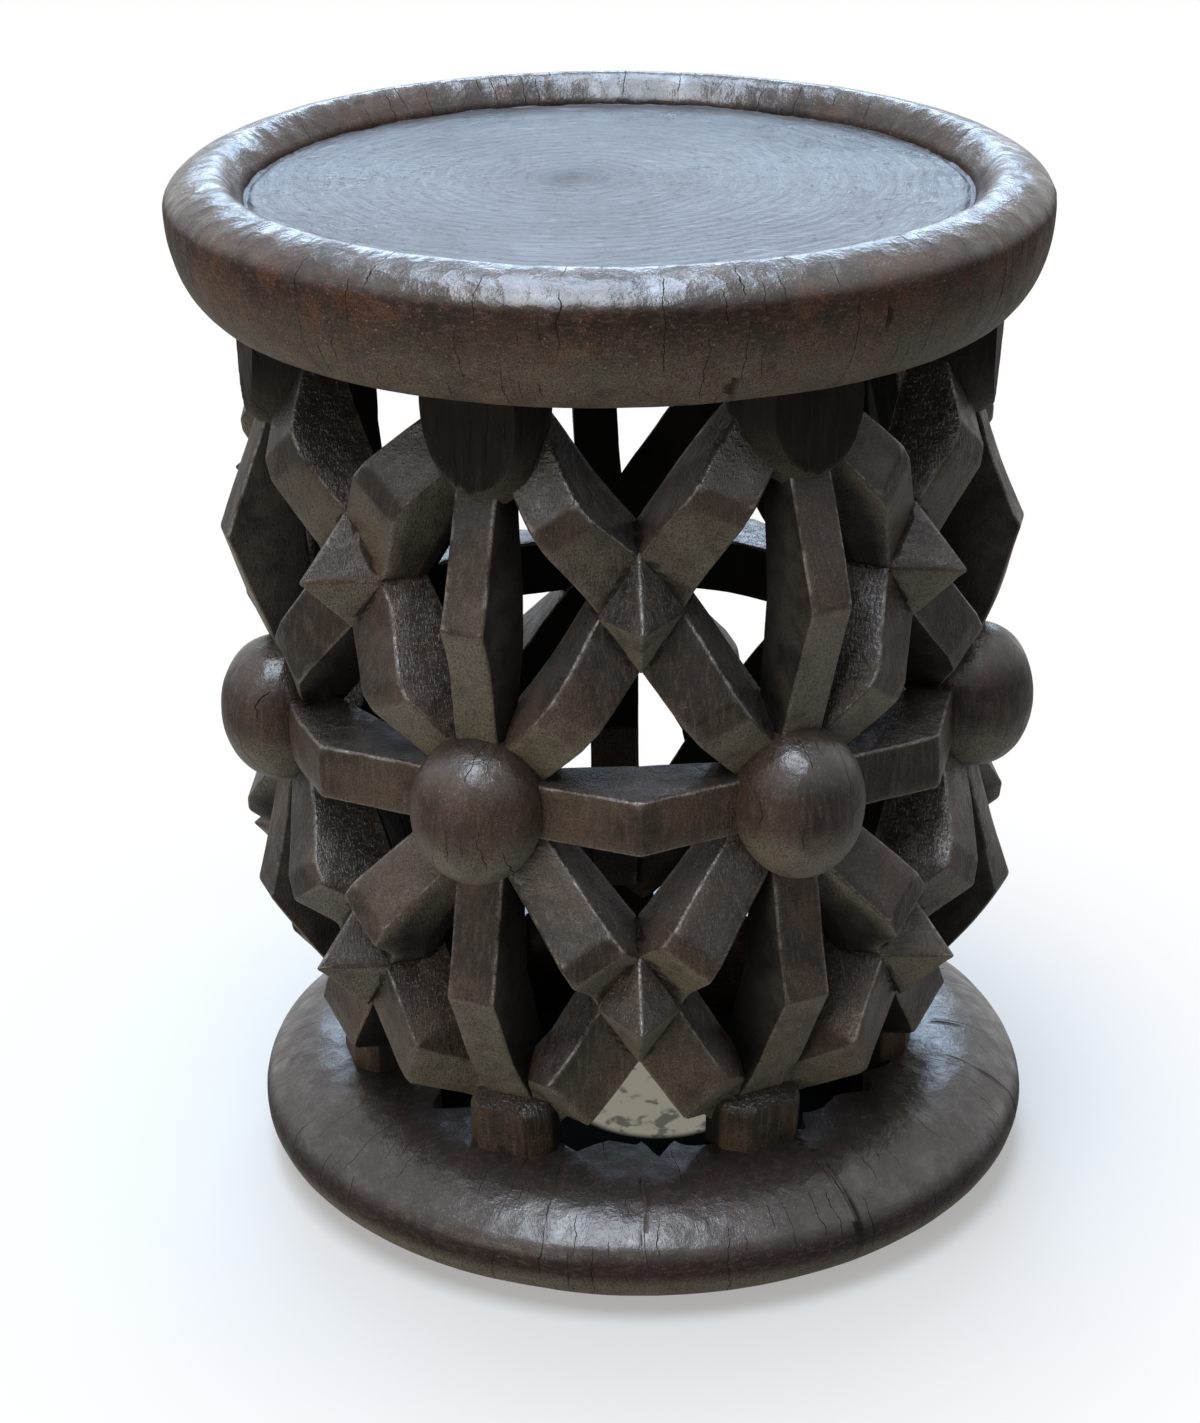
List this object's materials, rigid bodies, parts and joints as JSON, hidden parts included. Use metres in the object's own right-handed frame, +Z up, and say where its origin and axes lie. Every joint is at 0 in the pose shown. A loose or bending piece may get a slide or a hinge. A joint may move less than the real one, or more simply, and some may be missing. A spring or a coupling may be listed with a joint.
{
  "type": "carved stool",
  "caption": "Round carved wooden stool: a dished seat with a fat rounded rim on an openwork drum of kneed bars, crossings and egg-shaped bosses above a heavy base ring.",
  "frame": {"origin": "on the floor under the middle of the stool's overall box", "axes": "+Z up through the seat; -Y is the side that the picture shows; the seat sits 14 mm towards -X of the base ring"},
  "size_m": [0.4034, 0.4, 0.496],
  "materials": {
    "rim": "dark stained hardwood, waxed to a low gloss, rubbed reddish brown on the flank",
    "dish": "dark stained hardwood, polished by use, with growth rings and fine tool scratches",
    "base": "dark stained hardwood, satin, with small knocks and hairline cracks",
    "boss": "dark stained hardwood, smooth and glossy on the crowns",
    "block": "dark stained hardwood, cut in flat facets",
    "post": "dark stained hardwood, knife-cut facets with worn edges",
    "bar": "dark stained hardwood, knife-cut facets with worn edges",
    "lattice": "dark stained hardwood, knife-cut facets with worn edges"
  },
  "bodies": {
    "root": {"seat_rim": "rim", "seat_floor": "dish", "base_ring": "base", "upper_boss_1": "boss", "upper_boss_2": "boss", "upper_boss_3": "boss", "upper_boss_4": "boss", "upper_boss_5": "boss", "upper_boss_6": "boss", "upper_boss_7": "boss", "middle_boss_1": "boss", "middle_boss_2": "boss", "middle_boss_3": "boss", "middle_boss_4": "boss", "middle_boss_5": "boss", "middle_boss_6": "boss", "middle_boss_7": "boss", "lower_boss_1": "block", "lower_boss_2": "block", "lower_boss_3": "block", "lower_boss_4": "block", "lower_boss_5": "block", "lower_boss_6": "block", "lower_boss_7": "block", "upper_post_1": "post", "upper_post_2": "post", "upper_post_3": "post", "upper_post_4": "post", "upper_post_5": "post", "upper_post_6": "post", "upper_post_7": "post", "lower_post_1": "post", "lower_post_2": "post", "lower_post_3": "post", "lower_post_4": "post", "lower_post_5": "post", "lower_post_6": "post", "lower_post_7": "post", "waist_bar_1": "bar", "waist_bar_2": "bar", "waist_bar_3": "bar", "waist_bar_4": "bar", "waist_bar_5": "bar", "waist_bar_6": "bar", "waist_bar_7": "bar", "upper_cross_1": "lattice", "upper_cross_2": "lattice", "upper_cross_3": "lattice", "upper_cross_4": "lattice", "upper_cross_5": "lattice", "upper_cross_6": "lattice", "upper_cross_7": "lattice", "lower_cross_1": "lattice", "lower_cross_2": "lattice", "lower_cross_3": "lattice", "lower_cross_4": "lattice", "lower_cross_5": "lattice", "lower_cross_6": "lattice", "lower_cross_7": "lattice"}
  },
  "joints": []
}
